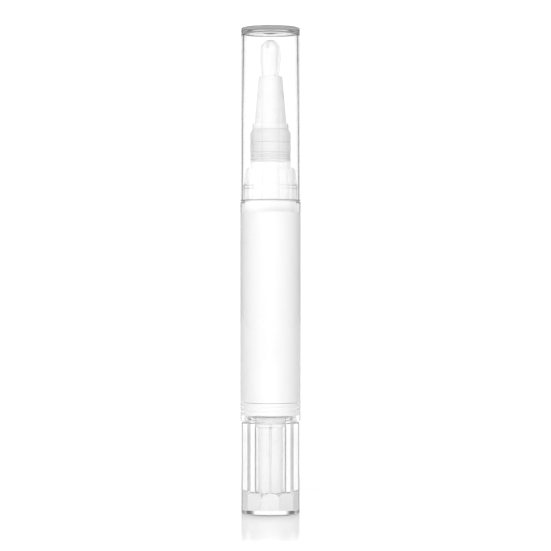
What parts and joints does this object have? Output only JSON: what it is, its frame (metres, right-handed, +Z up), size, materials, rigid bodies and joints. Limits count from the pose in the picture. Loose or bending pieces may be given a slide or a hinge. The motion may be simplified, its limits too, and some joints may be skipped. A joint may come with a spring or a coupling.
{
  "type": "nail art pen",
  "caption": "Slim clear twist-up brush pen: pull-off cap over a bristle tuft on a white cone, white-lined barrel with a piston, and a thick clear knob that feeds polish to the brush.",
  "frame": {"origin": "on the pen's axis at the foot of the knob, which it stands on", "axes": "+Z up the pen from the knob to the cap; +X and +Y across it, with a corner of the ten-sided base on +X"},
  "size_m": [0.017, 0.017, 0.136],
  "materials": {
    "clear_plastic": "polished clear",
    "white_plastic": "smooth satin",
    "translucent_plastic": "natural translucent satin",
    "mechanism_plastic": "moulded satin",
    "bristle": "soft white filament",
    "seal": "matte",
    "clip_steel": "plain"
  },
  "bodies": {
    "barrel": {"barrel": "clear_plastic", "reservoir_sleeve": "white_plastic", "nozzle_collar": "translucent_plastic", "neck_seal": "seal", "feed_tube": "mechanism_plastic", "brush_holder": "white_plastic", "brush_tuft": "bristle", "thread_seat": "mechanism_plastic", "end_plug": "translucent_plastic", "ratchet_ring": "mechanism_plastic"},
    "cap": {"cap": "clear_plastic"},
    "knob": {"knob": "clear_plastic", "knob_base": "translucent_plastic", "drive_tube": "white_plastic", "click_pawl": "mechanism_plastic", "retaining_ring": "clip_steel"},
    "lead_screw": {"lead_screw": "mechanism_plastic"},
    "piston": {"piston": "mechanism_plastic"}
  },
  "joints": [
    {"name": "cap_pull", "type": "slide", "parent": "barrel", "child": "cap", "axis": [0, 0, 1], "range_m": [0, 0.06]},
    {"name": "knob_twist", "type": "hinge", "parent": "barrel", "child": "knob", "pos_m": [0, 0, 0.0127], "axis": [0, 0, 1], "range_deg": [0, 3960]},
    {"name": "screw_feed", "type": "slide", "parent": "knob", "child": "lead_screw", "axis": [0, 0, 1], "range_m": [0, 0.033]},
    {"name": "piston_feed", "type": "slide", "parent": "barrel", "child": "piston", "axis": [0, 0, 1], "range_m": [0, 0.033]}
  ],
  "couplings": [
    {"joint": "screw_feed", "follows": "knob_twist", "m_per_rad": 0.00047746},
    {"joint": "piston_feed", "follows": "knob_twist", "m_per_rad": 0.00047746}
  ]
}
